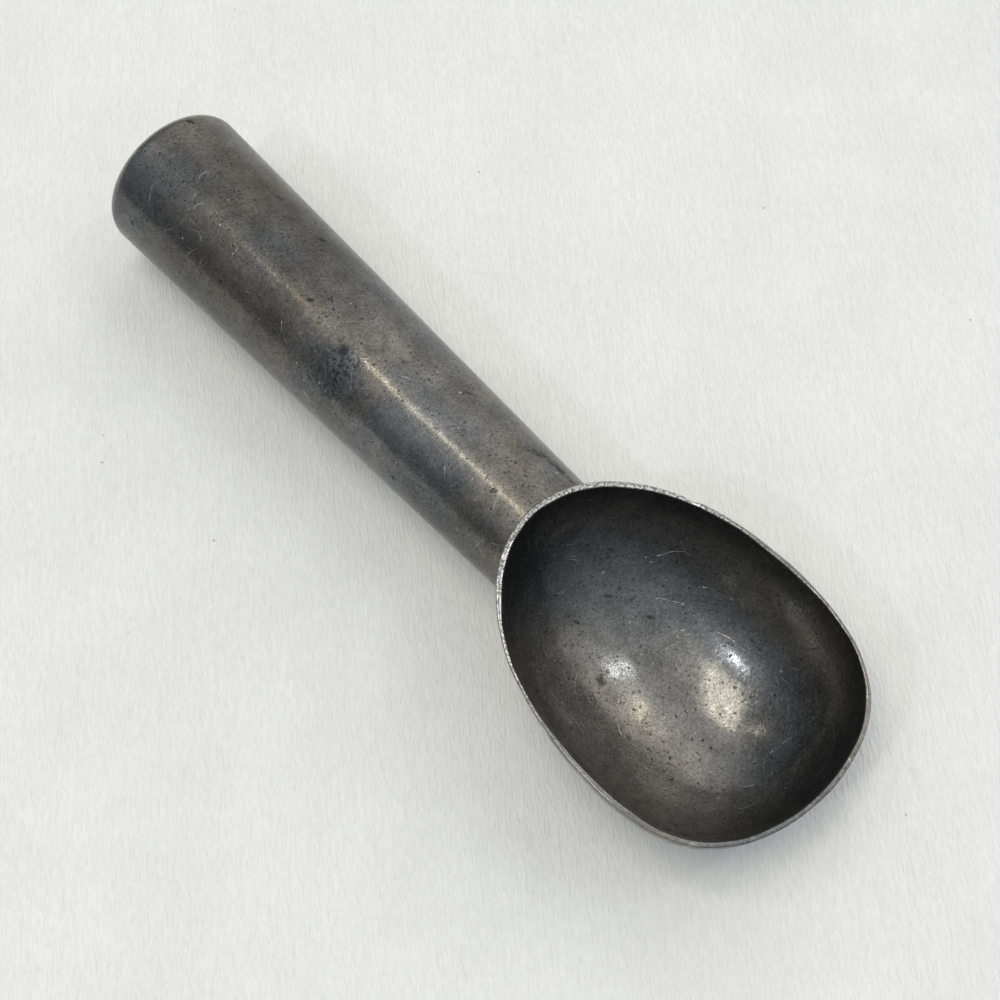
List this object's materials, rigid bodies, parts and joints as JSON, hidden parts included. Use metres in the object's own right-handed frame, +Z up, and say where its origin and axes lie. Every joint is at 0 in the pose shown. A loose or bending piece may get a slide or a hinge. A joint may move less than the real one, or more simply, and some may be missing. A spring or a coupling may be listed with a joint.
{
  "type": "ice cream scoop",
  "caption": "One-piece cast aluminium ice cream dipper: egg-shaped open bowl on a straight tapered hollow handle, butt closed by a pressed-in plug over a liquid fill.",
  "frame": {"origin": "on the resting plane, under the middle of the overall length and on the plane of symmetry", "axes": "+X from the butt to the bowl, +Z up from the surface that the scoop lies on, Y across the bowl"},
  "size_m": [0.184, 0.054, 0.0314],
  "materials": {
    "cast_body": "satin",
    "plug_metal": "satin",
    "washer_rubber": "matte",
    "heat_liquid": "gloss"
  },
  "bodies": {
    "root": {"scoop_body": "cast_body", "end_plug": "plug_metal", "plug_washer": "washer_rubber", "heat_liquid": "heat_liquid"}
  },
  "joints": []
}
